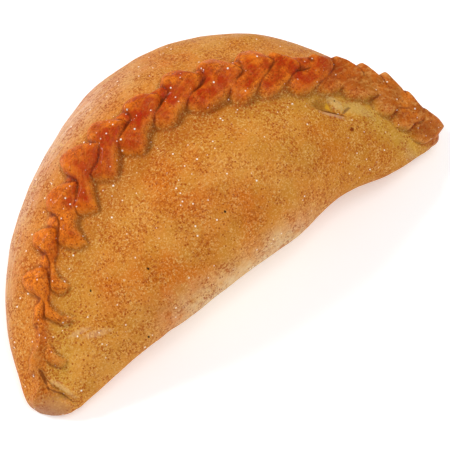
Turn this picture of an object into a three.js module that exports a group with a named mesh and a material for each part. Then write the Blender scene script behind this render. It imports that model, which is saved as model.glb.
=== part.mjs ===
// Half-moon cabbage pie, baked: one piece of dough folded over its filling, the
// curved edge crimped into a rope of slanting folds.
// Millimetres, +Z up. X runs from tip to tip, +Y is the side of the crimped edge,
// and the pie lies on its flat base at z = 0.
import * as THREE from 'three';
import { mergeVertices } from 'three/addons/utils/BufferGeometryUtils.js';

// ---- driving dimensions ----
const tipToTip = 161;            // straight distance between the two tips of the body
const bow = 25.5;                // how far the bent middle line stands off that distance

// Nine evenly spaced stations from the left tip to the right tip.
const outerReach = [13, 27, 36.5, 44.4, 50.8, 51.2, 43.4, 25.5, 15];  // middle line to back edge
const innerReach = [18, 24, 29.7, 31.7, 32.2, 31.2, 26, 23.6, 18];   // middle line to front edge
const crown = [14, 24, 33, 39, 41, 40, 36, 28.5, 20];                // height of the body
const seamPlace = [0.05, 0.28, 0.4, 0.42, 0.36, 0.31, 0.31, 0.38, -0.8]; // share of the reach

const body = {
  tipBluntness: 0.5,             // 1 gives pointed tips, 0 gives cut-off ones
  sideRoundness: 2.2,            // exponents of the superellipse of a cross-section
  topRoundness: 2.1,
  baseRoundness: 1.2,
  widestHeight: 13,              // the widest line lies this high
  baseSink: 1.25,                // the lower curve would go this much deeper, and is cut flat
};

// A fold of the rope is a leaf of dough. Its leading edge runs from the tongue, its innermost
// point, over the pocket to the dart, its outer edge from the dart over the dome, its outermost
// point, to the foot, and its back lies under the fold before it. One row for each fold, from
// the left tip: the tongue along and across the seam, then pocket, dome and dart, each as
// lead on the tongue and across.
const folds = [
  [12, -6, 2.5, 0.5, 5, 5.5, 12, 2],
  [23, -6.5, 3, 0, 9, 4.8, 15, 1.5],
  [36.5, -10, 0.5, -0.2, 5, 10.4, 10.5, 1.2],
  [45.5, -6.6, 2, -0.6, 8.5, 9.8, 14, 1.2],
  [59.5, -9.2, 3, -3.6, 6.5, 9.5, 16, 0.8],
  [69.5, -8.5, 7.5, -2, 9.5, 12.5, 20.5, 0.7],
  [82, -8.5, 7, -3.5, 9, 11, 16.5, 0.5],
  [93.5, -9.5, 7.5, -4.5, 11, 8.5, 19, 1],
  [106.5, -8.3, 6.5, -5, 12, 10.5, 19.5, 1.2],
  [119, -8.7, 10, -6, 11.5, 9.5, 19.5, -0.5],
  [132, -9.8, 6.5, -6.5, 11, 10, 18, 0.8],
  [141.5, -9.4, 7.5, -6, 11, 6, 16.5, -0.5],
  [152.5, -9.5, 8.5, -6.5, 13.5, 4.8, 18, -1.5],
  [163.5, -9.3, 7, -8, 11, 4.2, 19, -1.5],
  [173, -11.2, 9.5, -6.6, 11, 5, 18.5, -1],
  [184.5, -10.2, 9, -3.4, 9, 7, 18.5, 2],
  [192.5, -8.8, 9, -2, 11, 8, 15.5, 3],
  [201, -6, 8, -2, 9.5, 7, 14, 1.5],
];

// The lists hold nine stations along the seam.
const rope = {
  width: [7, 10, 14, 16, 16, 17, 17, 18, 8],
  foldHeight: [2, 4.2, 5.4, 6.2, 6.6, 6.2, 5.2, 6.4, 5.4],
  girth: [0.6, 0.75, 0.75, 0.95, 1, 1, 1, 1.35, 1.1],
  curl: [-0.6, -2.6, -1, 0.3, 0.3, 0.3, 0.6, 1, 0.8],   // how far a tongue's edge bows forward
  coreHeight: [2.1, 2.85, 3.1, 4, 4.7, 4.6, 4, 3.4, 2], // of the strand that joins the folds
  coreMiddle: [1.5, 2, 2.6, 3, 3, 2.6, 1.6, 0.4, 0],
  corePower: [1.3, 1.3, 1.6, 2.6, 3, 3, 3, 3, 2.6],     // low gives a sharp crest
  coreSpread: 0.22,
  leadingEdge: 0.7,              // how far from its edges a fold reaches its full height
  dartEdge: 2,
  outerEdge: 2.4,
  trailing: 4.8,                 // a fold rises this slowly from under the one before it
  outerTrailing: 3.2,
  ridgeAcross: 4,                // the ridge starts here and runs down to the dart
  tongueShare: 0.24,             // height at the tongue, as a share of that at the ridge
  domeFall: 0.45,
  dartFall: 0.2,
  footAcross: 4.5,
  hollowDepth: 0.8,              // along the inner foot of the rope
  hollowPlace: 0.62,
  hollowSpread: 0.4,
  hollowFade: 1.5,               // where the folds stand this high, there is no hollow
  endTaper: 0.09,                // share of half the seam over which the rope dies away at a tip
  blend: 0.5,
};

// Dents and bumps of the baked dough: middle along and across the seam, half-lengths of the
// mark, its turn from the seam's direction, and how far it stands out (below 0 it is a dent).
const marks = {
  tearPocket: { along: 162, across: -13, long: 5, wide: 2.8, turn: -20, lift: -1.6 },
  tearEnd: { along: 167.5, across: -16.3, long: 3.5, wide: 1.2, turn: -10, lift: -1.1 },
  paleLump: { along: 167.5, across: -12.5, long: 2.6, wide: 1.8, turn: 10, lift: 0.7 },
  creaseAtLeftTip: { along: 14, across: 0.2, long: 4, wide: 0.8, turn: 32, lift: -1.3 },
  flapAtLeftTip: { along: 12.5, across: -5.5, long: 5.5, wide: 1.3, turn: 78, lift: 0.9 },
  backBump: { along: 148.6, across: 21.8, long: 6, wide: 4, turn: 20, lift: 0.9 },
};

// Grid of the skin: lines round the pie crowd together at the rope.
const grid = { alongPie: 120, roundPie: 50, ropeCrowding: 0.18, middleCrowding: 0.35 };

const crustColour = 0xd08a3c;

// ---- helpers ----
const bendRadius = ((tipToTip / 2) ** 2 + bow ** 2) / (2 * bow);
const bendHalfAngle = Math.asin(tipToTip / 2 / bendRadius);

const clamp = (x, low, high) => Math.min(Math.max(x, low), high);
const signedPower = (x, power) => Math.sign(x) * Math.abs(x) ** power;

// Smooth curve through evenly spaced values; place runs from -1 to 1.
function through(values, place) {
  const last = values.length - 1;
  const u = clamp((place + 1) / 2 * last, 0, last - 1e-9);
  const i = Math.floor(u);
  const f = u - i;
  const a = values[Math.max(i - 1, 0)];
  const b = values[i];
  const c = values[i + 1];
  const d = values[Math.min(i + 2, last)];
  return 0.5 * (2 * b + (c - a) * f + (2 * a - 5 * b + 4 * c - d) * f ** 2
    + (3 * b - a - 3 * c + d) * f ** 3);
}

// 0 below low, 1 above high, smooth between them.
function smoothStep(x, low, high) {
  const f = clamp((x - low) / (high - low), 0, 1);
  return f * f * (3 - 2 * f);
}

function smoothMax(a, b, width) {
  const h = clamp(0.5 + 0.5 * (a - b) / width, 0, 1);
  return b + (a - b) * h + width * h * (1 - h);
}

// ---- the plain body ----
// place: -1 at the left tip to 1 at the right one; turn: 0 at the back edge, a quarter turn
// on top, half a turn at the front edge.
function bodyPoint(place, turn) {
  const close = Math.sqrt(Math.max(1 - place ** 2, 0)) ** body.tipBluntness;
  const top = through(crown, place) * close;
  const widest = Math.min(body.widestHeight, 0.45 * top);
  const cos = Math.cos(turn);
  const sin = Math.sin(turn);
  const reach = through(cos > 0 ? outerReach : innerReach, place) * close;
  const across = reach * signedPower(cos, 2 / body.sideRoundness);
  const z = sin >= 0
    ? widest + (top - widest) * sin ** (2 / body.topRoundness)
    : widest - widest * body.baseSink * (-sin) ** (2 / body.baseRoundness);
  const angle = bendHalfAngle * place;
  return new THREE.Vector3(
    (bendRadius + across) * Math.sin(angle),
    (bendRadius + across) * Math.cos(angle) - bendRadius * Math.cos(bendHalfAngle),
    Math.max(z, 0),
  );
}

function seamTurn(place) {
  return Math.acos(signedPower(through(seamPlace, place), body.sideRoundness / 2));
}

// ---- the rope of folds ----
// Smooth line through a few [along, across] points.
function curve(points, count) {
  const list = (key) => points.map((point) => point[key]);
  return Array.from({ length: count }, (_, i) => {
    const place = 2 * i / (count - 1) - 1;
    return [through(list(0), place), through(list(1), place)];
  });
}

// The point between a and b at a share of the way, moved by dx along and dy across.
const between = (a, b, share, dx = 0, dy = 0) => [
  a[0] + (b[0] - a[0]) * share + dx,
  a[1] + (b[1] - a[1]) * share + dy,
];

function foldLeaf(fold, seamLength) {
  const [at, inner, pocketLead, pocket, domeLead, domeAcross, dartLead, dartAcross] = fold;
  const place = 2 * at / seamLength - 1;
  const girth = through(rope.girth, place);
  const curl = through(rope.curl, place);
  const tongue = [at, inner];
  const pocketTop = [at + pocketLead, pocket];
  const dome = [at + domeLead, domeAcross];
  const dart = [at + dartLead, dartAcross];
  const foot = [dome[0] - 6.5 * girth, Math.min(rope.footAcross, domeAcross - 1)];
  const leading = curve([
    tongue,
    between(tongue, pocketTop, 0.5, curl, -0.2),
    pocketTop,
    between(pocketTop, dart, 0.5, 0, -0.4),
    dart,
  ], 24);
  const outer = curve([
    dart,
    between(dart, dome, 0.35, 0.8, 0.5),
    between(dart, dome, 0.72, 1, 0.9),
    [dome[0] + 0.8, domeAcross + 0.1],
    [dome[0] - 1.6 * girth, domeAcross - 0.2],
    between(foot, dome, 0.5, -0.7 * girth, 1),
    foot,
  ], 36);
  const back = curve([
    foot,
    [foot[0] - 1.6 * girth, foot[1] - 2.6],
    [at - 6.4 * girth, 0.4],
    [at - 4.6 * girth + 0.8 * curl, 0.48 * inner],
    [at - 1.9 * girth + 0.5 * curl, 0.85 * inner],
    tongue,
  ], 30);
  const ridgeTop = Math.min(rope.ridgeAcross, domeAcross - 1.5);
  return {
    inner,
    girth,
    domeAcross,
    dart,
    leading,
    outer,
    back,
    outline: [...leading, ...outer.slice(1), ...back.slice(1, -1)],
    ridgeStart: [dome[0] - 4 * girth, ridgeTop],
    height: through(rope.foldHeight, place),
  };
}

function distanceTo(line, x, y) {
  let best = Infinity;
  for (let i = 1; i < line.length; i += 1) {
    const [ax, ay] = line[i - 1];
    const ex = line[i][0] - ax;
    const ey = line[i][1] - ay;
    const share = clamp(((x - ax) * ex + (y - ay) * ey) / (ex ** 2 + ey ** 2), 0, 1);
    best = Math.min(best, Math.hypot(x - ax - share * ex, y - ay - share * ey));
  }
  return best;
}

function isInside(outline, x, y) {
  let inside = false;
  outline.forEach(([ax, ay], i) => {
    const [bx, by] = outline[(i + 1) % outline.length];
    if ((ay > y) !== (by > y) && x < (bx - ax) * (y - ay) / (by - ay) + ax) inside = !inside;
  });
  return inside;
}

// A quarter round: from 0 at an edge to 1 a width away from it.
const roundEdge = (distance, width) => Math.sqrt(1 - (1 - clamp(distance / width, 0, 1)) ** 2);

// Like a roof: highest along the ridge from the dome's shoulder to the dart, falling to the
// tongue on one side and to the dome's edge on the other.
function leafHeight(leaf, x, y) {
  if (!isInside(leaf.outline, x, y)) return 0;
  const [startX, startY] = leaf.ridgeStart;
  const [dartX, dartY] = leaf.dart;
  const t = clamp((x - startX) / (dartX - startX), 0, 1);
  const ridge = startY + (dartY - startY) * t;
  const toTongue = clamp((ridge - y) / (ridge - leaf.inner), 0, 1);
  const toDome = clamp((y - ridge) / (leaf.domeAcross - ridge), 0, 1);
  const share = (1 - (1 - rope.tongueShare) * toTongue ** 0.9 - rope.domeFall * toDome ** 1.6)
    * (1 - rope.dartFall * t ** 2);
  const outerSide = smoothStep(y, -1, 4);
  const trailing = rope.trailing * leaf.girth * (1 - outerSide) + rope.outerTrailing * outerSide;
  const rise = 1 - (1 - clamp(distanceTo(leaf.back, x, y) / trailing, 0, 1)) ** 2;
  const edge = rope.leadingEdge
    + (rope.dartEdge - rope.leadingEdge) * smoothStep(y, 0.5 * leaf.inner, dartY);
  return leaf.height * share * rise * roundEdge(distanceTo(leaf.leading, x, y), edge)
    * roundEdge(distanceTo(leaf.outer, x, y), rope.outerEdge);
}

function markHeight(mark, along, across) {
  const turn = THREE.MathUtils.degToRad(mark.turn);
  const dx = along - mark.along;
  const dy = across - mark.across;
  const lengthwise = (dx * Math.cos(turn) + dy * Math.sin(turn)) / mark.long;
  const sideways = (dy * Math.cos(turn) - dx * Math.sin(turn)) / mark.wide;
  return mark.lift * Math.exp(-(lengthwise ** 2) - sideways ** 2);
}

// How far the dough stands out from the plain body at a distance along and across the seam.
function relief(along, across, seamLength, leaves) {
  const place = 2 * along / seamLength - 1;
  const width = through(rope.width, place);
  const taper = smoothStep(1 - Math.abs(place), 0, rope.endTaper);
  const foldHeight = taper * Math.max(...leaves.map((leaf) => leafHeight(leaf, along, across)));
  const offMiddle = Math.abs(across - through(rope.coreMiddle, place)) / (rope.coreSpread * width);
  const core = through(rope.coreHeight, place) * taper
    * Math.exp(-(offMiddle ** through(rope.corePower, place)));
  const height = smoothMax(foldHeight, core, rope.blend);
  const dip = rope.hollowDepth * taper
    * Math.exp(-(((across + rope.hollowPlace * width) / (rope.hollowSpread * width)) ** 2));
  const marked = Object.values(marks)
    .reduce((sum, mark) => sum + markHeight(mark, along, across), 0);
  return height + marked - dip * clamp(1 - height / rope.hollowFade, 0, 1);
}

// ---- the skin ----
function makePie() {
  const { alongPie, roundPie } = grid;
  const seamColumn = roundPie / 2;
  const place = [];
  const rows = [];
  for (let r = 0; r <= alongPie; r += 1) {
    const w = r / alongPie;
    const polar = Math.PI * w + grid.middleCrowding / 2 * Math.sin(2 * Math.PI * w);
    place.push(-Math.cos(polar));
    rows.push(Array.from({ length: roundPie }, (_, c) => {
      const q = c / roundPie - 0.5;
      const spread = grid.ropeCrowding + (1 - grid.ropeCrowding) * (2 * q) ** 2;
      return bodyPoint(place[r], seamTurn(place[r]) - 2 * Math.PI * q * spread);
    }));
  }

  // Distances along the seam and across it, measured on the body.
  const along = [0];
  for (let r = 1; r <= alongPie; r += 1) {
    along.push(along[r - 1] + rows[r][seamColumn].distanceTo(rows[r - 1][seamColumn]));
  }
  const seamLength = along[alongPie];
  const across = rows.map((row) => {
    const distance = new Array(roundPie).fill(0);
    for (let c = seamColumn + 1; c < roundPie; c += 1) {
      distance[c] = distance[c - 1] + row[c].distanceTo(row[c - 1]);
    }
    for (let c = seamColumn - 1; c >= 0; c -= 1) {
      distance[c] = distance[c + 1] - row[c].distanceTo(row[c + 1]);
    }
    return distance;
  });
  const leaves = folds.map((fold) => foldLeaf(fold, seamLength));

  // A skin point: the body point moved out by the relief along the body's normal.
  function skinPoint(r, c) {
    const here = rows[r][c];
    const height = relief(along[r], across[r][c], seamLength, leaves);
    const normal = new THREE.Vector3();
    if (r === 0 || r === alongPie) {
      const side = r === 0 ? -1 : 1;
      normal.set(side * Math.cos(bendHalfAngle), -Math.sin(bendHalfAngle), 0);
    } else {
      const toTip = rows[r + 1][c].clone().sub(rows[r - 1][c]);
      const next = rows[r][(c + 1) % roundPie];
      const round = next.clone().sub(rows[r][(c + roundPie - 1) % roundPie]);
      normal.crossVectors(toTip, round).normalize();
    }
    const point = here.clone().addScaledVector(normal, height);
    point.z = Math.max(point.z, 0);
    return point;
  }

  // The sphere's rows run from pole to pole and become the rows from tip to tip.
  const geometry = new THREE.SphereGeometry(1, roundPie, alongPie);
  const position = geometry.attributes.position;
  for (let i = 0; i < position.count; i += 1) {
    const r = Math.floor(i / (roundPie + 1));
    const c = (i % (roundPie + 1)) % roundPie;
    const point = skinPoint(r, r === 0 || r === alongPie ? seamColumn : c);
    position.setXYZ(i, point.x, point.y, point.z);
  }
  geometry.deleteAttribute('normal');
  geometry.deleteAttribute('uv');
  const pie = mergeVertices(geometry, 1e-4);
  pie.computeBoundingBox();
  const centre = pie.boundingBox.getCenter(new THREE.Vector3());
  pie.translate(-centre.x, -centre.y, 0);
  pie.computeVertexNormals();
  return pie;
}

const crust = new THREE.MeshStandardMaterial({
  color: crustColour,
  roughness: 0.5,
  metalness: 0,
});

const group = new THREE.Group();
const pie = new THREE.Mesh(makePie(), crust);
pie.name = 'pie';
group.add(pie);

export default group;
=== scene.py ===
import math
import bpy
import numpy as np
from mathutils import Matrix, Vector


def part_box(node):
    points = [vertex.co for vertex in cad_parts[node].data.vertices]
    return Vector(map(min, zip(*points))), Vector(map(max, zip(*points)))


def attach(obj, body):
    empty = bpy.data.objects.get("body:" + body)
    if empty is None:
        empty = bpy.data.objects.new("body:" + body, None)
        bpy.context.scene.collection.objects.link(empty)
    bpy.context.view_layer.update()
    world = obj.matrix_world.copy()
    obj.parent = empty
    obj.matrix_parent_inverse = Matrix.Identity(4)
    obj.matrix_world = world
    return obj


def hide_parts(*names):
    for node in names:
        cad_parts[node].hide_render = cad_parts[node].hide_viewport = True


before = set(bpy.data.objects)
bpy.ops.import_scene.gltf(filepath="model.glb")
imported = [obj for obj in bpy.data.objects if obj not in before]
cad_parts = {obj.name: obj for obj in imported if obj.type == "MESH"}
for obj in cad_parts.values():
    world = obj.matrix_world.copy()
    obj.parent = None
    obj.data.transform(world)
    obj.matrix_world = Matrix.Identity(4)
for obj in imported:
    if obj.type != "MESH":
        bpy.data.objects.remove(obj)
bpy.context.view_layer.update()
mm = 0.001


def through(values, place):
    # smooth curve through evenly spaced values, place from -1 to 1
    v = np.asarray(values, float)
    last = len(v) - 1
    u = np.clip((np.asarray(place, float) + 1) / 2 * last, 0, last - 1e-9)
    i = u.astype(int)
    f = u - i
    a, b, c, d = v[np.maximum(i - 1, 0)], v[i], v[i + 1], v[np.minimum(i + 2, last)]
    return 0.5 * (2 * b + (c - a) * f + (2 * a - 5 * b + 4 * c - d) * f ** 2
                  + (3 * b - a - 3 * c + d) * f ** 3)


def smoothMax(a, b, width):
    h = np.clip(0.5 + 0.5 * (a - b) / width, 0, 1)
    return b + (a - b) * h + width * h * (1 - h)


def ramp(x, low, high):
    # 0 at low, 1 at high and flat beyond both; low may be the larger one
    f = np.clip((x - low) / (high - low), 0, 1)
    return f * f * (3 - 2 * f)


def lumps(points, size, seed):
    # soft random hills and hollows, -1 to 1, about as large as size
    side = 24
    table = np.random.default_rng(seed).uniform(-1, 1, (side, side, side))
    cell = np.asarray(points) / size + 100.37    # the offset keeps every cell above zero
    low = np.floor(cell).astype(int)
    f = cell - low
    f = f * f * (3 - 2 * f)
    total = 0
    for corner in range(8):
        step = np.array([corner & 1, corner >> 1 & 1, corner >> 2 & 1])
        weight = np.prod(np.where(step == 1, f, 1 - f), axis=-1)
        i = (low + step) % side
        total = total + weight * table[i[..., 0], i[..., 1], i[..., 2]]
    return total


# lengths in millimetres; lists hold nine stations from the left tip to the right one
dough = {
    "tipToTip": 161,
    "bow": 25.5,                 # how far the bent middle line stands off the straight one
    "outerReach": [13, 27, 36.5, 44.4, 50.8, 51.2, 43.4, 25.5, 15],
    "innerReach": [18, 24, 29.7, 31.7, 32.2, 31.2, 26, 23.6, 18],
    "crown": [14, 24, 33, 39, 41, 40, 36, 28.5, 20],
    "seamPlace": [0.05, 0.28, 0.4, 0.42, 0.36, 0.31, 0.31, 0.38, -0.8],
    "tipBluntness": 0.5,
    "sideRoundness": 2.2,
    "topRoundness": 2.1,
    "baseRoundness": 1.2,
    "widestHeight": 13,
    "widestShare": 0.45,         # of the height, where the pie is too low for widestHeight
    "baseSink": 1.25,
    "raggedness": [1.5, 1.5, 1.3, 0.9, 0.8, 0.8, 0.9, 1.1, 1.2],
    "rows": 560,
    "columns": 168,
    "ropeCrowding": 0.22,        # lines round the pie crowd together at the rope
    "middleCrowding": 0.3,
    "plainBase": 3.0,            # the lumps fade out below this height
}

# strength, size in millimetres and seed of each kind of lump; the first four raise the
# surface, and the last four shift the outlines of the folds
lumpKinds = {
    "bodyWide": (0.32, 13, 3),
    "bodySmall": (0.16, 5.5, 4),
    "foldWide": (0.2, 3.2, 5),
    "foldSmall": (0.12, 1.5, 6),
    "alongWide": (0.5, 5, 21),
    "alongSmall": (0.25, 1.8, 22),
    "acrossWide": (0.6, 6, 23),
    "acrossSmall": (0.25, 2, 24),
}


def lumpy(points, *kinds):
    return sum(lumpKinds[kind][0] * lumps(points, *lumpKinds[kind][1:]) for kind in kinds)


def bentLine():
    half = dough["tipToTip"] / 2
    radius = (half ** 2 + dough["bow"] ** 2) / (2 * dough["bow"])
    return radius, math.asin(half / radius)


def plainBody(place, turn):
    # place -1 to 1 from tip to tip; turn 0 at the back edge, a quarter turn on top
    radius, halfAngle = bentLine()
    close = np.maximum(1 - place ** 2, 0) ** (dough["tipBluntness"] / 2)
    top = through(dough["crown"], place) * close
    widest = np.minimum(dough["widestHeight"], dough["widestShare"] * top)
    cos, sin = np.cos(turn), np.sin(turn)
    reach = np.where(cos > 0, through(dough["outerReach"], place), through(dough["innerReach"], place))
    across = reach * close * np.sign(cos) * np.abs(cos) ** (2 / dough["sideRoundness"])
    upper = widest + (top - widest) * np.abs(sin) ** (2 / dough["topRoundness"])
    lower = widest * (1 - dough["baseSink"] * np.abs(sin) ** (2 / dough["baseRoundness"]))
    z = np.maximum(np.where(sin >= 0, upper, lower), 0)
    angle = halfAngle * place
    x = (radius + across) * np.sin(angle)
    y = (radius + across) * np.cos(angle) - radius * math.cos(halfAngle)
    return np.stack(np.broadcast_arrays(x, y, z), -1)


def skinGrid():
    # the plain skin as rows from tip to tip, with distances along the seam and across it
    rows, columns = dough["rows"], dough["columns"]
    w = np.arange(rows + 1)[:, None] / rows
    place = -np.cos(np.pi * w + dough["middleCrowding"] / 2 * np.sin(2 * np.pi * w))
    q = np.arange(columns)[None, :] / columns - 0.5
    seam = through(dough["seamPlace"], place)
    seamTurn = np.arccos(np.sign(seam) * np.abs(seam) ** (dough["sideRoundness"] / 2))
    spread = dough["ropeCrowding"] + (1 - dough["ropeCrowding"]) * (2 * np.abs(q)) ** 2
    points = plainBody(place, seamTurn - 2 * np.pi * q * spread)

    middle = columns // 2
    steps = np.linalg.norm(np.diff(points[:, middle], axis=0), axis=1)
    along = np.concatenate([[0], np.cumsum(steps)])
    gaps = np.linalg.norm(np.roll(points, -1, 1) - points, axis=2)
    across = np.zeros(points.shape[:2])
    across[:, middle + 1:] = np.cumsum(gaps[:, middle:-1], 1)
    across[:, :middle] = -np.cumsum(gaps[:, middle - 1::-1], 1)[:, ::-1]
    return points, np.repeat(along[:, None], columns, 1), across


def outward(points):
    normal = np.cross(np.gradient(points, axis=0), np.roll(points, -1, 1) - np.roll(points, 1, 1))
    length = np.linalg.norm(normal, axis=-1, keepdims=True)
    normal = normal / np.where(length > 1e-9, length, 1)
    if normal[len(points) // 2, points.shape[1] // 2, 2] < 0:
        normal = -normal
    halfAngle = bentLine()[1]
    for row, side in ((0, -1), (-1, 1)):
        normal[row] = (side * math.cos(halfAngle), -math.sin(halfAngle), 0)
    return normal


# One row for each fold, from the left tip, in millimetres along and across the seam:
# tongue (along, across), then pocket, dome and dart, each as lead on the tongue and across.
foldRows = [
    (12.0, -6.0, 2.5, 0.5, 5.0, 5.5, 12.0, 2.0),
    (23.0, -6.5, 3.0, 0.0, 9.0, 4.8, 15.0, 1.5),
    (36.5, -10.0, 0.5, -0.2, 5.0, 10.4, 10.5, 1.2),
    (45.5, -6.6, 2.0, -0.6, 8.5, 9.8, 14.0, 1.2),
    (59.5, -9.2, 3.0, -3.6, 6.5, 9.5, 16.0, 0.8),
    (69.5, -8.5, 7.5, -2.0, 9.5, 12.5, 20.5, 0.7),
    (82.0, -8.5, 7.0, -3.5, 9.0, 11.0, 16.5, 0.5),
    (93.5, -9.5, 7.5, -4.5, 11.0, 8.5, 19.0, 1.0),
    (106.5, -8.3, 6.5, -5.0, 12.0, 10.5, 19.5, 1.2),
    (119.0, -8.7, 10.0, -6.0, 11.5, 9.5, 19.5, -0.5),
    (132.0, -9.8, 6.5, -6.5, 11.0, 10.0, 18.0, 0.8),
    (141.5, -9.4, 7.5, -6.0, 11.0, 6.0, 16.5, -0.5),
    (152.5, -9.5, 8.5, -6.5, 13.5, 4.8, 18.0, -1.5),
    (163.5, -9.3, 7.0, -8.0, 11.0, 4.2, 19.0, -1.5),
    (173.0, -11.2, 9.5, -6.6, 11.0, 5.0, 18.5, -1.0),
    (184.5, -10.2, 9.0, -3.4, 9.0, 7.0, 18.5, 2.0),
    (192.5, -8.8, 9.0, -2.0, 11.0, 8.0, 15.5, 3.0),
    (201.0, -6.0, 8.0, -2.0, 9.5, 7.0, 14.0, 1.5),
]

# lengths in millimetres; lists hold nine stations, as for the dough
rope = {
    "width": [7, 10, 14, 16, 16, 17, 17, 18, 8],
    "foldHeight": [2, 4.2, 5.4, 6.2, 6.6, 6.2, 5.2, 6.4, 5.4],
    "girth": [0.6, 0.75, 0.75, 0.95, 1, 1, 1, 1.35, 1.1],
    "curl": [-0.6, -2.6, -1, 0.3, 0.3, 0.3, 0.6, 1, 0.8],
    "coreHeight": [2.1, 2.85, 3.1, 4, 4.7, 4.6, 4, 3.4, 2],
    "corePower": [1.3, 1.3, 1.6, 2.6, 3, 3, 3, 3, 2.6],
    "coreSpread": 0.22,
    "coreMiddle": [1.5, 2, 2.6, 3, 3, 2.6, 1.6, 0.4, 0],
    "leadingEdge": 0.7,          # how far from its edge a fold reaches its full height
    "dartEdge": 2.0,
    "outerEdge": 2.4,
    "trailing": 4.8,             # a fold rises this slowly from under the one before it
    "outerTrailing": 3.2,
    "ridgeAcross": 4.0,
    "tongueShare": 0.24,         # height at the tongue, as a share of the height at the ridge
    "domeFall": 0.45,
    "dartFall": 0.2,
    "domeFoot": 4.5,
    "hollowDepth": 0.8,
    "hollowPlace": 0.62,
    "hollowSpread": 0.4,
    "endTaper": 0.09,
    "footLag": 6.5,              # times the girth, behind the dome
    "ridgeLag": 4.0,
    "ridgeGap": 1.5,             # the ridge stays this far from the dome
    "tonguePower": 0.9,
    "domePower": 1.6,
    "outerFrom": (-1.0, 4.0),    # across the seam, where the outer side starts and is full
    "innerFrom": (-0.8, 1.6),    # the same for the inner side, from the ridge
    "coverEdge": 0.5,            # the rope's colour fades in over this much of a fold's edge
    "coreJoin": 0.5,
    "leadingSteps": 24,
    "outerSteps": 36,
    "backSteps": 30,
}


def curve(points, count):
    points = np.asarray(points, float)
    place = np.linspace(-1, 1, count)
    return np.stack([through(points[:, 0], place), through(points[:, 1], place)], 1)


def distanceTo(line, x, y):
    best = np.full(x.shape, 1e9)
    for (ax, ay), (bx, by) in zip(line[:-1], line[1:]):
        ex, ey = bx - ax, by - ay
        u = np.clip(((x - ax) * ex + (y - ay) * ey) / (ex * ex + ey * ey + 1e-12), 0, 1)
        best = np.minimum(best, (x - ax - u * ex) ** 2 + (y - ay - u * ey) ** 2)
    return np.sqrt(best)


def insideOf(outline, x, y):
    odd = np.zeros(x.shape, bool)
    for (ax, ay), (bx, by) in zip(outline, np.roll(outline, -1, 0)):
        if ay != by:
            odd ^= ((ay > y) != (by > y)) & (x < (bx - ax) * (y - ay) / (by - ay) + ax)
    return odd


def between(a, b, share, lean):
    # that share of the way from a to b, then moved by lean
    return a * (1 - share) + b * share + lean


def foldLines(row, girth, curl):
    # the leading, outer and back edge of one fold, each a curve from corner to corner
    at, inner, pocketLead, pocket, domeLead, domeAcross, dartLead, dartAcross = row
    tongue = np.array([at, inner])
    pocketTop = np.array([at + pocketLead, pocket])
    dome = np.array([at + domeLead, domeAcross])
    dart = np.array([at + dartLead, dartAcross])
    foot = np.array([dome[0] - rope["footLag"] * girth, min(rope["domeFoot"], domeAcross - 1.0)])
    leading = curve([tongue, between(tongue, pocketTop, 0.5, (curl, -0.2)), pocketTop,
                     between(pocketTop, dart, 0.5, (0, -0.4)), dart], rope["leadingSteps"])
    outer = curve([dart, between(dart, dome, 0.35, (0.8, 0.5)), between(dart, dome, 0.72, (1.0, 0.9)),
                   dome + (0.8, 0.1), dome + (-1.6 * girth, -0.2),
                   between(dome, foot, 0.5, (-0.7 * girth, 1.0)), foot], rope["outerSteps"])
    back = curve([foot, foot + (-1.6 * girth, -2.6), (at - 6.4 * girth, 0.4),
                  (at - 4.6 * girth + 0.8 * curl, 0.48 * inner),
                  (at - 1.9 * girth + 0.5 * curl, 0.85 * inner), tongue], rope["backSteps"])
    return leading, outer, back


def roundEdge(distance, width):
    return np.sqrt(1 - (1 - np.clip(distance / width, 0, 1)) ** 2)


def foldForm(row, along, across, seamLength):
    # height, cover and inner side (both 0 to 1) of one fold
    at, inner, _, _, domeLead, domeAcross, dartLead, dartAcross = row
    place = 2 * at / seamLength - 1
    height, girth, curl = (through(rope[key], place) for key in ("foldHeight", "girth", "curl"))
    leading, outer, back = foldLines(row, girth, curl)
    outline = np.concatenate([leading, outer[1:], back[1:-1]])
    low, high = outline.min(0), outline.max(0)
    near = (along > low[0]) & (along < high[0]) & (across > low[1]) & (across < high[1])
    x, y = along[near], across[near]
    ridgeStart = at + domeLead - rope["ridgeLag"] * girth
    t = np.clip((x - ridgeStart) / (at + dartLead - ridgeStart), 0, 1)
    ridgeTop = min(rope["ridgeAcross"], domeAcross - rope["ridgeGap"])
    ridge = ridgeTop + (dartAcross - ridgeTop) * t
    toTongue = np.clip((ridge - y) / (ridge - inner), 0, 1)
    toDome = np.clip((y - ridge) / (domeAcross - ridge), 0, 1)
    share = 1 - (1 - rope["tongueShare"]) * toTongue ** rope["tonguePower"]
    share = share - rope["domeFall"] * toDome ** rope["domePower"]
    share = share * (1 - rope["dartFall"] * t ** 2)
    outerSide = ramp(y, *rope["outerFrom"])
    trailing = rope["trailing"] * girth * (1 - outerSide) + rope["outerTrailing"] * outerSide
    rise = 1 - (1 - np.clip(distanceTo(back, x, y) / trailing, 0, 1)) ** 2
    toLeading, toOuter = distanceTo(leading, x, y), distanceTo(outer, x, y)
    thinEdge, dartEdge = rope["leadingEdge"], rope["dartEdge"]
    leadingEdge = thinEdge + (dartEdge - thinEdge) * ramp(y, 0.5 * inner, dartAcross)
    z = height * share * rise * roundEdge(toLeading, leadingEdge) * roundEdge(toOuter, rope["outerEdge"])
    within = insideOf(outline, x, y)
    cover = np.clip(toLeading / rope["coverEdge"], 0, 1) * np.clip(toOuter / rope["coverEdge"], 0, 1)
    cover = cover * np.clip(rise * 1.25, 0, 1)
    result = np.zeros((3, *along.shape))
    result[:, near] = np.where(within, [z, cover, ramp(ridge - y, *rope["innerFrom"])], 0)
    return result


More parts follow.
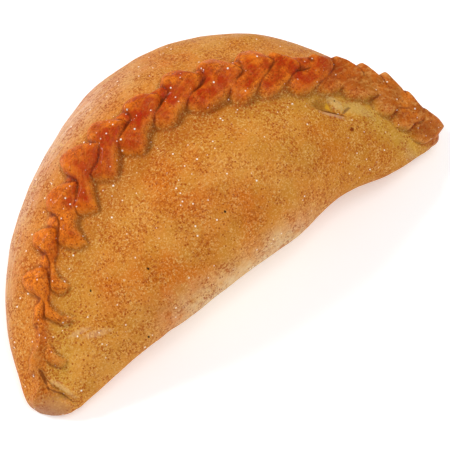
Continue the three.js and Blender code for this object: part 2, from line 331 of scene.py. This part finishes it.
def ropeRelief(along, across, seamLength):
    # the highest fold at each place, joined to the strand under the folds, and the hollow beside them
    place = 2 * along / seamLength - 1
    width = through(rope["width"], place)
    taper = ramp(1 - np.abs(place), 0.0, rope["endTaper"])
    folds, covers, innerSide = np.zeros((3, *along.shape))
    for row in foldRows:
        height, cover, inner = foldForm(row, along, across, seamLength)
        innerSide = np.where(height > folds, inner, innerSide)
        folds, covers = np.maximum(folds, height), np.maximum(covers, cover)
    offMiddle = np.abs(across - through(rope["coreMiddle"], place)) / (rope["coreSpread"] * width)
    core = through(rope["coreHeight"], place) * taper
    core = core * np.exp(-offMiddle ** through(rope["corePower"], place))
    relief = smoothMax(folds * taper, core, rope["coreJoin"])
    covers = np.maximum(covers, np.clip(np.exp(-offMiddle ** 4) * 1.2, 0, 1) * taper)
    dip = np.exp(-((across + rope["hollowPlace"] * width) / (rope["hollowSpread"] * width)) ** 2)
    relief = relief - rope["hollowDepth"] * dip * taper * np.clip(1 - relief / 1.5, 0, 1)
    return relief, covers, innerSide


# along and across the seam, half-length, half-width, turn in degrees, how far it stands out
marks = {
    "tearPocket": (162, -13, 5, 2.8, -20, -1.6),
    "tearEnd": (167.5, -16.3, 3.5, 1.2, -10, -1.1),
    "tearBranch": (171, -15, 2.4, 0.6, 35, -0.8),
    "tearLip": (163.5, -17.6, 6, 0.9, -24, 0.5),
    "paleLump": (167.5, -12.5, 3.2, 1.7, -50, 0.5),
    "creaseAtLeftTip": (14, 0.2, 4, 0.8, 32, -1.3),
    "flapAtLeftTip": (12.5, -5.5, 5.5, 1.2, 78, 1.1),
    "underFlap": (9.8, -5.5, 4.5, 1.1, 80, -1.1),
    "backBump": (148.6, 21.8, 6, 4, 20, 0.9),
    "blister": (169.2, -23, 0.7, 0.6, 0, 0.5),
}


def markRelief(along, across):
    total = np.zeros(along.shape)
    for at, side, long, wide, turn, lift in marks.values():
        c, s = math.cos(math.radians(turn)), math.sin(math.radians(turn))
        dx, dy = along - at, across - side
        total += lift * np.exp(-((dx * c + dy * s) / long) ** 2 - ((dy * c - dx * s) / wide) ** 2)
    return total


def smallRelief(points, ropeness):
    # low lumps all over the dough, and finer wrinkles where the folds baked hard
    body = lumpy(points, "bodyWide", "bodySmall")
    folds = lumpy(points, "foldWide", "foldSmall")
    return body * (1 - 0.4 * ropeness) + folds * (0.18 + 0.82 * ropeness)


def softened(grid, passes):
    # each pass spreads the values by about one step of the grid
    for _ in range(passes):
        grid = (2 * grid + np.roll(grid, 1, 1) + np.roll(grid, -1, 1)) / 4
        grid[1:-1] = (2 * grid[1:-1] + grid[:-2] + grid[2:]) / 4
    return grid


# how strong each colour is at nine stations from the left tip to the right one
bakedAlong = {
    "dark": [0.45, 0.65, 0.9, 1, 1, 1, 0.95, 0.85, 0.85],
    "redAndShade": [0, 0.2, 0.45, 1.1, 1, 0.7, 0.9, 0.3, 0.1],
    "besideFoldsShade": [0.1, 0.15, 0.5, 1, 1, 0.6, 0.3, 0.15, 0.1],
    "pale": [0.6, 0.6, 0.4, 0, 0, 0.5, 1, 1, 0.6],
}

# millimetres along or across the seam, or up: where a colour starts, and where it is full
bakedSpans = {
    "brownRight": (158, 182),
    "brownLeft": (36, 16),
    "rightEnd": (110, 190),
    "bandAcross": (9, 26),
    "bandAlong": (128, 85),
    "flourAndSheenLeft": (38, 78),
    "flourAndSheenRight": (155, 120),
    "flourAndSheenAcross": (-2, -12),
    "flourAndSheenUp": (28, 9),
    "tipLeft": (9, 2),
    "tipRight": (180, 196),
    "tipRightAcross": (-7, -15),
    "haloAcross": (-2, 5),
    # the crest marks the ridges, where a painted highlight goes
    "crest": (0.1, 0.5),         # these three by how far the rope stands off its softened form
    "creaseShade": (-0.1, -0.6),
    "fineCreaseShade": (-0.02, -0.13),
}

baked = {
    "wideSoftening": 12,         # passes
    "fineSoftening": 4,
    # red with painted shade: the outer side of a fold keeps this share of it
    "outerRedAndShade": 0.6,         # of the redness on the inner side of a fold
    "leftBrownness": 0.7,
    "haloMiddle": 5,
    "haloWidth": 10,
    "paleDip": (0.62, 0.42),     # middle and spread, times the width of the rope
    # where painted shade darkens the hollow beside the folds
    "besideFoldsShadeDip": (0.55, 0.38),
    "tipRightSlant": 0.9,
    "flourAndSheenRagged": (3, 12, 13),  # strength, size and seed, as for the lumps
    "darkRagged": (0.15, 5, 11),
    "paleRagged": (0.35, 9, 12),
}


def bakedMasks(points, along, across, relief, cover, innerSide):
    # where the crust is dark, reddest, has painted shade in its creases and so on, each 0 to 1
    place = 2 * along / along.max() - 1
    width = through(rope["width"], place)
    strength = {key: through(values, place) for key, values in bakedAlong.items()}
    bend = relief - softened(relief, baked["wideSoftening"])
    fineBend = relief - softened(relief, baked["fineSoftening"])

    def ragged(key):
        height, size, seed = baked[key]
        return height * lumps(points, size, seed)

    def span(key, values):
        return ramp(values, *bakedSpans[key])

    def beside(key):
        middle, spread = baked[key]
        return np.exp(-((across + middle * width) / (spread * width)) ** 2) * (1 - cover)

    # a fold's inner side, facing away from the lamps, is redder: partly baked colour, partly painted shade
    redAndShadeSide = baked["outerRedAndShade"] + (1 - baked["outerRedAndShade"]) * innerSide
    rightTip = span("tipRight", along - baked["tipRightSlant"] * np.abs(across))
    # pale along the low edge: partly flour, partly a painted reflection of the pale floor
    low = span("flourAndSheenUp", points[..., 2] - ragged("flourAndSheenRagged")) * span("flourAndSheenAcross", across)
    # painted shade in the creases, wide and fine
    shadeInCreases = np.maximum(span("creaseShade", bend), 0.85 * span("fineCreaseShade", fineBend))
    halo = np.exp(-((across - baked["haloMiddle"]) / baked["haloWidth"]) ** 2)
    masks = {
        "dark": softened(cover, 1) * strength["dark"] * (0.95 + ragged("darkRagged")),
        "redAndShade": softened(redAndShadeSide, 2) * cover * strength["redAndShade"],
        "brown": span("brownRight", along) + baked["leftBrownness"] * span("brownLeft", along),
        "creaseShade": shadeInCreases * (0.5 + 0.5 * cover),
        "crest": span("crest", bend),
        "halo": halo * span("haloAcross", across),
        "besideFoldsShade": beside("besideFoldsShadeDip") * strength["besideFoldsShade"],
        "pale": beside("paleDip") * strength["pale"] * (0.8 + ragged("paleRagged")),
        "bandAndSheen": span("bandAcross", across) * span("bandAlong", along),
        "tips": np.maximum(span("tipLeft", along), rightTip * span("tipRightAcross", across)),
        "flourAndSheen": low * span("flourAndSheenLeft", along) * span("flourAndSheenRight", along),
        "rightEnd": span("rightEnd", along),
    }
    masks = {key: np.clip(mask, 0, 1) for key, mask in masks.items()}
    return masks | {"along": along, "across": across}


def meshFromGrid(name, points, masks):
    rows, columns = points.shape[0] - 1, points.shape[1]
    ring = points[1:-1].reshape(-1, 3)
    vertices = np.concatenate([points[0, :1], ring, points[-1, :1]]) * mm
    last = len(vertices) - 1
    index = 1 + np.arange((rows - 1) * columns).reshape(rows - 1, columns)
    beside = np.roll(index, -1, 1)
    quads = np.stack([index[:-1], beside[:-1], beside[1:], index[1:]], -1).reshape(-1, 4)
    faces = quads.tolist()
    faces += [[0, b, a] for a, b in zip(index[0].tolist(), beside[0].tolist())]
    faces += [[last, a, b] for a, b in zip(index[-1].tolist(), beside[-1].tolist())]
    mesh = bpy.data.meshes.new(name)
    mesh.from_pydata(vertices.tolist(), [], faces)
    mesh.update()
    for key, values in masks.items():
        flat = np.concatenate([values[0, :1], values[1:-1].reshape(-1), values[-1, :1]])
        mesh.attributes.new(key, "FLOAT", "POINT").data.foreach_set("value", flat.astype(np.float32))
    mesh.polygons.foreach_set("use_smooth", [True] * len(mesh.polygons))
    piece = bpy.data.objects.new(name, mesh)
    bpy.context.scene.collection.objects.link(piece)
    return piece


def makePie():
    body, along, across = skinGrid()
    normal = outward(body)
    ragged = through(dough["raggedness"], 2 * along / along.max() - 1)
    shiftedAlong = along + ragged * lumpy(body, "alongWide", "alongSmall")
    shiftedAcross = across + ragged * lumpy(body, "acrossWide", "acrossSmall")
    relief, cover, innerSide = ropeRelief(shiftedAlong, shiftedAcross, along.max())
    height = relief + markRelief(along, across) + smallRelief(body, cover)
    base = ramp(body[..., 2], 0.0, dough["plainBase"])
    points = body + normal * (relief + (height - relief) * base)[..., None]
    points[..., 2] = np.maximum(points[..., 2], 0)
    for end in (0, -1):
        points[end] = points[end, dough["columns"] // 2]
    low, high = points.reshape(-1, 3).min(0), points.reshape(-1, 3).max(0)
    cad = np.array([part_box("pie")[0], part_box("pie")[1]]) / mm
    shift = (cad[0] + cad[1]) / 2 - (low + high) / 2
    points[..., :2] += shift[:2]
    masks = bakedMasks(body, along, across, relief, cover, innerSide)
    piece = meshFromGrid("bakedPie", points, masks)
    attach(piece, "root")
    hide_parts("pie")
    return piece


def newSocket(group, name, kind, output=False, value=None):
    socket = group.interface.new_socket(name=name, in_out="OUTPUT" if output else "INPUT", socket_type=kind)
    if value is not None:
        socket.default_value = value
    return socket


def addNode(tree, kind, inputs=None, **settings):
    node = tree.nodes.new(kind)
    for key, value in settings.items():
        setattr(node, key, value)
    for key, value in (inputs or {}).items():
        if isinstance(value, bpy.types.NodeSocket):
            tree.links.new(value, node.inputs[key])
        else:
            node.inputs[key].default_value = value
    return node


def mathNode(tree, operation, *values):
    node = addNode(tree, "ShaderNodeMath", operation=operation)
    for i, value in enumerate(values):
        if isinstance(value, bpy.types.NodeSocket):
            tree.links.new(value, node.inputs[i])
        else:
            node.inputs[i].default_value = value
    return node.outputs[0]


def mixColour(tree, share, first, second):
    node = addNode(tree, "ShaderNodeMix", data_type="RGBA")
    for key, value in ((0, share), (6, first), (7, second)):
        if isinstance(value, bpy.types.NodeSocket):
            tree.links.new(value, node.inputs[key])
        elif key == 0:
            node.inputs[0].default_value = value
        else:
            node.inputs[key].default_value = (*value, 1)
    return node.outputs[2]


def rangeNode(tree, value, fromLow, fromHigh, toLow=0.0, toHigh=1.0):
    node = addNode(tree, "ShaderNodeMapRange", {"Value": value, "From Min": fromLow, "From Max": fromHigh,
                                                "To Min": toLow, "To Max": toHigh})
    return node.outputs[0]


def times(tree, *values):
    product = values[0]
    for value in values[1:]:
        product = mathNode(tree, "MULTIPLY", product, value)
    return product


def noise(tree, where, size, detail=2.0, roughness=0.5):
    # size in millimetres
    node = addNode(tree, "ShaderNodeTexNoise", {"Vector": where, "Scale": 1 / (size * mm),
                                                "Detail": detail, "Roughness": roughness})
    return node.outputs[0]


def linear(hexColour):
    # sRGB hex to linear values
    parts = [int(hexColour[i:i + 2], 16) / 255 for i in (0, 2, 4)]
    return tuple(p / 12.92 if p <= 0.04045 else ((p + 0.055) / 1.055) ** 2.4 for p in parts)


def specksGroup():
    # round specks scattered over a surface: a mask that is 1 on a speck
    group = bpy.data.node_groups.new("bakedSpecks", "ShaderNodeTree")
    newSocket(group, "Vector", "NodeSocketVector")
    newSocket(group, "Spacing", "NodeSocketFloat", value=1.0)
    newSocket(group, "Share", "NodeSocketFloat", value=0.5)
    newSocket(group, "Radius", "NodeSocketFloat", value=0.3)
    newSocket(group, "Specks", "NodeSocketFloat", output=True)
    inside = addNode(group, "NodeGroupInput")
    out = addNode(group, "NodeGroupOutput")
    scale = mathNode(group, "DIVIDE", 1 / mm, inside.outputs["Spacing"])
    cells = addNode(group, "ShaderNodeTexVoronoi", {"Vector": inside.outputs["Vector"], "Scale": scale})
    parts = addNode(group, "ShaderNodeSeparateColor", {"Color": cells.outputs["Color"]})
    chosen = mathNode(group, "LESS_THAN", parts.outputs[0], inside.outputs["Share"])
    radius = mathNode(group, "MULTIPLY", inside.outputs["Radius"],
                      rangeNode(group, parts.outputs[1], 0, 1, 0.55, 1.3))
    edge = mathNode(group, "SUBTRACT", radius, cells.outputs["Distance"])
    soft = rangeNode(group, edge, -0.05, 0.12)
    group.links.new(mathNode(group, "MULTIPLY", chosen, soft), out.inputs["Specks"])
    return group


def useGroup(tree, group, inputs):
    node = tree.nodes.new("ShaderNodeGroup")
    node.node_tree = group
    for key, value in inputs.items():
        if isinstance(value, bpy.types.NodeSocket):
            tree.links.new(value, node.inputs[key])
        else:
            node.inputs[key].default_value = value
    return node.outputs[0]


def ellipseGroup():
    # an ellipse painted at a place along and across the seam
    group = bpy.data.node_groups.new("ellipseMark", "ShaderNodeTree")
    for name in ("Along", "Across", "Middle Along", "Middle Across",
                 "Half Length", "Half Width", "Turn", "Rag"):
        newSocket(group, name, "NodeSocketFloat")
    newSocket(group, "Mark", "NodeSocketFloat", output=True)
    get = addNode(group, "NodeGroupInput").outputs
    out = addNode(group, "NodeGroupOutput")

    def calc(operation, *values):
        return mathNode(group, operation, *values)

    dx = calc("SUBTRACT", get["Along"], get["Middle Along"])
    dy = calc("SUBTRACT", get["Across"], get["Middle Across"])
    cos, sin = calc("COSINE", get["Turn"]), calc("SINE", get["Turn"])
    u = calc("ADD", calc("MULTIPLY", dx, cos), calc("MULTIPLY", dy, sin))
    v = calc("SUBTRACT", calc("MULTIPLY", dy, cos), calc("MULTIPLY", dx, sin))
    squares = [calc("POWER", calc("ABSOLUTE", calc("DIVIDE", part, get[half])), 2)
               for part, half in ((u, "Half Length"), (v, "Half Width"))]
    far = calc("ADD", calc("SQRT", calc("ADD", *squares)), get["Rag"])
    group.links.new(rangeNode(group, far, 0.65, 1.15, 1, 0), out.inputs["Mark"])
    return group


crust = {
    "golden": "DA943C",
    "orange": "D2741C",
    "ochre": "C8862A",
    "straw": "D2A43E",
    "rightOchre": "C07E1E",
    # painted shade: darker brown in the hollow beside the folds
    "besideFoldsShadeBrown": "B0661A",
    "haloOrange": "D98430",
    "ropeOrange": "F88418",
    "ropeRed": "B42A00",
    "ropeBrown": "A45214",
    # painted highlight on the crests and wrinkles of the rope
    "crestOrange": "F58E26",
    # painted shade: deep red in the creases
    "creaseShadeRed": "601400",
    # partly paler dough, partly a painted sheen
    "bandTanAndSheen": "E8C0A4",
    "rustySpeck": "A84606",
    "paleGrain": "E8B86C",
    "fineDark": "A85410",
    "finePale": "F0C480",
    "tipPink": "B07C66",
    # partly flour, partly a painted reflection of the pale floor
    "flourAndSheenTan": "EAD0A4",
    "speckBrown": "9C3C08",
    # painted highlight: the near-white colour of the glints
    "paintedGlint": "FFF8E8",
    # painted highlight: straw on the wrinkles and crests of the rope
    "highlightStraw": "D8A868",
    "wrinkleSlant": 28,          # degrees
    "wrinkleStretch": (0.35, 0.9),   # for each millimetre along the wrinkles and across them
    "sheenStreakStretch": (0.12, 1.1),
    "specular": 0.05,
    "coatOnFace": 0.03,
    "coatOnRope": 0.07,
    "coatRoughness": 0.12,
    "grainHeight": 0.26,         # millimetres
    "poreHeight": 0.16,
    "wrinkleHeight": 0.25,
    "grainSize": 0.7,
    "poreSize": 2.2,
    "ropeRoughening": 1.7,       # grain and pores stand this many times higher on the rope
}

# patches from noise: size in millimetres, detail, roughness, then two values of the noise
# and the two values that they become
patches = {
    "orange": (22, 3, 0.5, 0.38, 0.62, 0, 1),
    "ochre": (8, 3, 0.5, 0.42, 0.64, 0, 0.6),
    "ropeTone": (4, 3, 0.5, 0.35, 0.65, -0.4, 0.4),
    "ropeBrown": (5, 3, 0.5, 0.35, 0.6, 0.45, 1.0),
    "flourAndSheenPatches": (3, 3, 0.5, 0.3, 0.6, 0.35, 1.0),
    "fineDark": (0.55, 2, 0.6, 0.5, 0.36, 0, 0.6),
    "finePale": (0.55, 2, 0.6, 0.54, 0.7, 0, 0.5),
    "darkDrifts": (7, 3, 0.5, 0.4, 0.6, 0.15, 1.0),
    "rusty": (1.0, 3, 0.75, 0.5, 0.58, 0, 0.75),
    "paleDrifts": (5, 3, 0.5, 0.45, 0.62, 0.15, 1.0),
    "paleGrains": (0.8, 3, 0.75, 0.53, 0.64, 0, 0.8),
    "dotDensity": (5, 2, 0.5, 0.4, 0.62, 0.04, 0.6),
    "paintedGlintClusters": (6, 2, 0.5, 0.5, 0.64, 0, 1),
    "raggedMarks": (0.9, 2, 0.5, 0.3, 0.7, -0.3, 0.3),
    "roughness": (3, 2, 0.5, 0.3, 0.7, 0.42, 0.6),
}

# how much of each colour is laid on where its mask is full
shares = {
    "rightOchre": 0.6,
    "besideFoldsShadeBrown": 0.75,
    "haloOrange": 0.85,
    "ropeWrinkleHighlightStraw": 0.5,
    "ropeWrinkleHighlightOrange": 0.25,
    "crestOrange": 0.4,
    "crestStraw": 0.3,
    "creaseShadeRed": 0.9,
    "tipPink": 0.7,
    "ropeGrain": 0.08,           # of the pale grain on the face
    "dots": 0.8,
    "paintedGlintsOnRope": 0.3,
    "paintedGlintsOnFace": 0.04,
}
dots = {"Spacing": 0.85, "Radius": 0.34}     # spacing in millimetres, radius as a part of it
# painted highlights: the glints, with spacing and radius as for the dots
paintedGlints = {"Spacing": 1.1, "Radius": 0.24}

# along and across the seam, half-length, half-width, turn in degrees, strength, colour
paintedMarks = {
    "tearShade": (161.5, -12.8, 4.4, 2.4, -20, 0.6, "94621E"),
    "paleLump": (167.3, -12.8, 3.6, 1.7, -55, 0.4, "DCC080"),
    "paleBeside": (176.0, -13.5, 8.0, 2.6, 8, 0.35, "D6B870"),
    "filling": (164.0, -13.4, 0.8, 1.5, 10, 0.8, "D8A024"),
    "tornEdge": (163.6, -17.5, 5.4, 0.9, -22, 0.4, "D0A890"),
    "tornShadow": (164.4, -16.0, 5.4, 0.75, -22, 0.85, "6A3A14"),
    # painted shadow in the branch of the tear
    "tornBranchShadow": (170.8, -15.2, 2.6, 0.5, 35, 0.55, "7A4A2C"),
    "blister": (169.2, -23.0, 1.0, 0.85, 0, 0.9, "7A2600"),
    "blisterBeside": (172.6, -21.6, 0.6, 0.45, 0, 0.7, "8A3A10"),
    "charAbove": (167.0, -12.0, 0.32, 0.3, 0, 0.9, "20100A"),
    "charFront": (101.4, -40.6, 0.5, 0.45, 0, 0.95, "180C06"),
    "charMiddle": (63.4, -30.1, 0.55, 0.4, -60, 0.95, "180C06"),
    "charLeft": (45.8, -13.0, 0.4, 0.35, 0, 0.9, "180C06"),
    "charLow": (44.7, -36.3, 0.9, 0.35, -60, 0.9, "2A1208"),
    "redSpotRight": (209.0, 8.0, 1.6, 1.0, 30, 0.8, "6E1C04"),
    # painted shade in the crease at the left tip
    "tipCreaseShade": (13.6, 0.2, 3.8, 0.5, 32, 0.8, "7A3C14"),
    "tipFlap": (12.6, -5.6, 4.6, 0.9, 78, 0.3, "ECC890"),
    # painted shadow under the flap at the left tip
    "tipFlapShadow": (10.4, -5.4, 4.6, 0.45, 80, 0.6, "7C4418"),
    "tipPinkEnd": (5.0, -5.0, 4.8, 6.0, 0, 0.4, "C08460"),
    "streakLong": (34.0, -16.5, 6.5, 0.9, -52, 0.2, "F2D2A6"),
    "streakShort": (31.5, -10.5, 4.5, 0.8, -48, 0.2, "F2D2A6"),
}


def patch(tree, where, kind):
    size, detail, roughness, *ends = patches[kind]
    return rangeNode(tree, noise(tree, where, size, detail, roughness), *ends)


def paint(tree, colour, name, *parts):
    # lays a colour of the crust over what is there, by the product of the parts
    return mixColour(tree, times(tree, *parts), colour, linear(crust[name]))


def stretchedNoise(tree, far, side, stretch):
    x, y = times(tree, far, stretch[0]), times(tree, side, stretch[1])
    place = addNode(tree, "ShaderNodeCombineXYZ", {"X": x, "Y": y}).outputs[0]
    return addNode(tree, "ShaderNodeTexNoise", {"Vector": place, "Scale": 1.0, "Detail": 3.0}).outputs[0]


def wrinkleNoise(tree, mask):
    # thin lines along the folds, which slant across the seam; they raise the bump, and on the rope they
    # carry painted highlights
    slant = math.radians(crust["wrinkleSlant"])
    cos, sin = math.cos(slant), math.sin(slant)
    far = mathNode(tree, "ADD", times(tree, mask["along"], cos), times(tree, mask["across"], sin))
    side = mathNode(tree, "SUBTRACT", times(tree, mask["across"], cos), times(tree, mask["along"], sin))
    return rangeNode(tree, stretchedNoise(tree, far, side, crust["wrinkleStretch"]), 0.48, 0.66)


def ropeColour(tree, where, mask, wrinkles):
    # redder where the mask is high: partly baked colour, partly painted shade on the inner sides of the
    # folds
    tone = mathNode(tree, "ADD", patch(tree, where, "ropeTone"), mask["redAndShade"])
    redder = rangeNode(tree, tone, 0.0, 1.0)
    colour = mixColour(tree, redder, linear(crust["ropeOrange"]), linear(crust["ropeRed"]))
    colour = paint(tree, colour, "ropeBrown", mask["brown"], patch(tree, where, "ropeBrown"))
    # painted highlights along the wrinkles: straw on the brown right end, orange all over the rope
    colour = paint(tree, colour, "highlightStraw", wrinkles, mask["brown"], shares["ropeWrinkleHighlightStraw"])
    return paint(tree, colour, "crestOrange", wrinkles, shares["ropeWrinkleHighlightOrange"])


def bakedColour(tree, where, mask, wrinkles):
    # the large patches: golden face, red rope, brown right end, pale band with a painted sheen, pinkish
    # tips
    colour = mixColour(tree, patch(tree, where, "orange"), linear(crust["golden"]), linear(crust["orange"]))
    colour = paint(tree, colour, "ochre", patch(tree, where, "ochre"))
    colour = paint(tree, colour, "rightOchre", mask["rightEnd"], shares["rightOchre"])
    colour = paint(tree, colour, "straw", mask["pale"])
    # painted shade: darker brown in the hollow beside the folds
    colour = paint(tree, colour, "besideFoldsShadeBrown", mask["besideFoldsShade"], shares["besideFoldsShadeBrown"])
    colour = paint(tree, colour, "haloOrange", mask["halo"], shares["haloOrange"])

    # the pale outer band: partly paler dough, partly a painted sheen in streaks
    sheenStreaks = stretchedNoise(tree, mask["along"], mask["across"], crust["sheenStreakStretch"])
    sheenStreaks = rangeNode(tree, sheenStreaks, 0.3, 0.65, 0.25, 1.0)
    colour = paint(tree, colour, "bandTanAndSheen", mask["bandAndSheen"], sheenStreaks)

    colour = mixColour(tree, mask["dark"], colour, ropeColour(tree, where, mask, wrinkles))
    # painted highlights on the crests: orange, and straw on the brown right end
    crest, dark = mask["crest"], mask["dark"]
    colour = paint(tree, colour, "crestOrange", crest, dark, shares["crestOrange"])
    colour = paint(tree, colour, "highlightStraw", crest, mask["brown"], dark, shares["crestStraw"])
    # painted shade in the creases
    colour = paint(tree, colour, "creaseShadeRed", mask["creaseShade"], shares["creaseShadeRed"])
    colour = paint(tree, colour, "tipPink", mask["tips"], shares["tipPink"])
    # pale along the low edge: partly flour, partly a painted reflection of the pale floor
    return paint(tree, colour, "flourAndSheenTan", mask["flourAndSheen"], patch(tree, where, "flourAndSheenPatches"))


def speckledColour(tree, where, mask, colour, specks):
    # dark and pale grain in drifts, then dark specks and painted highlights as bright glints
    onRope = rangeNode(tree, mask["dark"], 0, 1, 1, shares["ropeGrain"])
    drifts = patch(tree, where, "darkDrifts")
    colour = paint(tree, colour, "fineDark", patch(tree, where, "fineDark"), drifts)
    colour = paint(tree, colour, "finePale", patch(tree, where, "finePale"), onRope)
    colour = paint(tree, colour, "rustySpeck", patch(tree, where, "rusty"), drifts)
    # the larger pale grain and the painted glints are read from another place in the noise
    shifted = addNode(tree, "ShaderNodeVectorMath", {0: where, 1: (0.31, 0.17, 0.23)}).outputs[0]
    paleDrifts = patch(tree, shifted, "paleDrifts")
    colour = paint(tree, colour, "paleGrain", patch(tree, shifted, "paleGrains"), paleDrifts, onRope)
    density = patch(tree, where, "dotDensity")
    dotMask = useGroup(tree, specks, {"Vector": where, "Share": density} | dots)
    colour = paint(tree, colour, "speckBrown", dotMask, shares["dots"])
    # painted highlights: the glints crowd on the rope and are sparse on the face
    paintedGlintShareOnRope = times(tree, mask["dark"], patch(tree, shifted, "paintedGlintClusters"), shares["paintedGlintsOnRope"])
    paintedGlintShare = mathNode(tree, "ADD", paintedGlintShareOnRope, shares["paintedGlintsOnFace"])
    paintedGlintMask = useGroup(tree, specks, {"Vector": shifted, "Share": paintedGlintShare} | paintedGlints)
    return paint(tree, colour, "paintedGlint", paintedGlintMask)


def markedColour(tree, where, mask, colour, ellipse):
    rag = patch(tree, where, "raggedMarks")
    place = {"Along": mask["along"], "Across": mask["across"], "Rag": rag}
    for at, side, long, wide, turn, strength, shade in paintedMarks.values():
        mark = useGroup(tree, ellipse, place | {
            "Middle Along": at, "Middle Across": side, "Half Length": long, "Half Width": wide,
            "Turn": math.radians(turn)})
        colour = mixColour(tree, times(tree, mark, strength), colour, linear(shade))
    return colour


def crustMaterial(specks, ellipse):
    material = bpy.data.materials.new("bakedCrust")
    material.use_nodes = True
    tree = material.node_tree
    shader = tree.nodes["Principled BSDF"]
    where = addNode(tree, "ShaderNodeTexCoord").outputs["Object"]
    mask = {key: addNode(tree, "ShaderNodeAttribute", attribute_name=key).outputs["Fac"]
            for key in ("dark", "redAndShade", "brown", "creaseShade", "crest", "halo", "besideFoldsShade", "pale", "bandAndSheen", "tips",
                        "flourAndSheen", "rightEnd", "along", "across")}
    wrinkles = wrinkleNoise(tree, mask)
    colour = bakedColour(tree, where, mask, wrinkles)
    colour = speckledColour(tree, where, mask, colour, specks)
    colour = markedColour(tree, where, mask, colour, ellipse)
    tree.links.new(colour, shader.inputs["Base Color"])

    grain = times(tree, noise(tree, where, crust["grainSize"], 3, 0.65), crust["grainHeight"])
    pores = times(tree, noise(tree, where, crust["poreSize"], 2), crust["poreHeight"])
    height = mathNode(tree, "ADD", grain, pores)
    height = times(tree, height, rangeNode(tree, mask["dark"], 0, 1, 1, crust["ropeRoughening"]))
    height = mathNode(tree, "ADD", height, times(tree, wrinkles, mask["dark"], crust["wrinkleHeight"]))
    bump = addNode(tree, "ShaderNodeBump", {"Height": height, "Distance": mm, "Strength": 1.0})
    tree.links.new(bump.outputs[0], shader.inputs["Normal"])
    tree.links.new(patch(tree, where, "roughness"), shader.inputs["Roughness"])
    coat = rangeNode(tree, mask["dark"], 0, 1, crust["coatOnFace"], crust["coatOnRope"])
    tree.links.new(coat, shader.inputs["Coat Weight"])
    shader.inputs["Coat Roughness"].default_value = crust["coatRoughness"]
    shader.inputs["Specular IOR Level"].default_value = crust["specular"]
    return material


studio = {
    "floorSize": 4.0,            # metres
    "floorColour": (0.9, 0.9, 0.9),
    "floorRoughness": 0.9,
    "floorSpecular": 0.1,
    "floorGlow": 0.3,            # lit a little, so that the shadow stays faint
    "floorHeight": -0.0002,      # just under the pie
    "worldStrength": 0.36,
    "backdropStrength": 1.0,     # what the camera sees behind the floor
    "lightAim": (0, 0, 0.02),
    "lights": {                  # place and size in metres, watts
        "keyLight": ((-0.7, 1.1, 1.1), 0.4, 16),
        "topLight": ((0.2, -0.4, 1.4), 1.0, 8),
        "frontLight": ((0.7, -1.1, 0.6), 1.0, 3.5),
    },
    "azimuth": -39.26,           # degrees, 0 looks along +Y
    "elevation": 60,
    "distance": 0.56,            # metres
    "sensor": 36,                # millimetres
    "photoSide": 450,            # pixels
    "pixelsPerMm": 3.18,
    "targetPixel": (247.82, 246.31),
    "target": (0.0, -35.2, 15),  # millimetres
}


def makeFloor():
    half = studio["floorSize"] / 2
    mesh = bpy.data.meshes.new("floor")
    corners = [(-half, -half, 0), (half, -half, 0), (half, half, 0), (-half, half, 0)]
    mesh.from_pydata(corners, [], [[0, 1, 2, 3]])
    floor = bpy.data.objects.new("floor", mesh)
    bpy.context.scene.collection.objects.link(floor)
    floor.location.z = studio["floorHeight"]
    finish = bpy.data.materials.new("paleFloor")
    finish.use_nodes = True
    shader = finish.node_tree.nodes["Principled BSDF"]
    shader.inputs["Base Color"].default_value = (*studio["floorColour"], 1)
    shader.inputs["Roughness"].default_value = studio["floorRoughness"]
    shader.inputs["Specular IOR Level"].default_value = studio["floorSpecular"]
    shader.inputs["Emission Color"].default_value = (1, 1, 1, 1)
    shader.inputs["Emission Strength"].default_value = studio["floorGlow"]
    mesh.materials.append(finish)


def softLight(name, place, aim, size, watts):
    lamp = bpy.data.lights.new(name, "AREA")
    lamp.size = size
    lamp.energy = watts
    holder = bpy.data.objects.new(name, lamp)
    bpy.context.scene.collection.objects.link(holder)
    holder.location = place
    holder.rotation_euler = (Vector(aim) - Vector(place)).to_track_quat("-Z", "Y").to_euler()


def makeLights():
    world = bpy.data.worlds.new("studio")
    bpy.context.scene.world = world
    world.use_nodes = True
    tree = world.node_tree
    sky = tree.nodes["Background"]
    sky.inputs["Color"].default_value = (1, 1, 1, 1)
    seen = addNode(tree, "ShaderNodeLightPath").outputs["Is Camera Ray"]
    tree.links.new(rangeNode(tree, seen, 0, 1, studio["worldStrength"], studio["backdropStrength"]),
                   sky.inputs["Strength"])
    for name, (place, size, watts) in studio["lights"].items():
        softLight(name, place, studio["lightAim"], size, watts)


def makeCamera():
    a, e = math.radians(studio["azimuth"]), math.radians(studio["elevation"])
    back = Vector((math.sin(a) * math.cos(e), -math.cos(a) * math.cos(e), math.sin(e)))
    right = Vector((math.cos(a), math.sin(a), 0))
    up = back.cross(right)
    half = studio["photoSide"] / 2
    shiftX = (studio["targetPixel"][0] - half) / studio["pixelsPerMm"] * mm
    shiftY = (studio["targetPixel"][1] - half) / studio["pixelsPerMm"] * mm
    target = Vector(studio["target"]) * mm - right * shiftX + up * shiftY
    lens = bpy.data.cameras.new("camera")
    lens.sensor_width = studio["sensor"]
    lens.lens = studio["sensor"] * studio["pixelsPerMm"] * studio["distance"] / mm / studio["photoSide"]
    camera = bpy.data.objects.new("camera", lens)
    bpy.context.scene.collection.objects.link(camera)
    turn = Matrix((right, up, back)).transposed().to_4x4()
    turn.translation = target + back * studio["distance"]
    camera.matrix_world = turn
    bpy.context.scene.camera = camera


pie = makePie()
print("pie:", len(pie.data.vertices), "points")
pie.data.materials.append(crustMaterial(specksGroup(), ellipseGroup()))
print("finishes made")
makeFloor()
makeLights()
makeCamera()
bpy.context.scene.view_settings.view_transform = "Standard"
print("floor, lights and camera set")
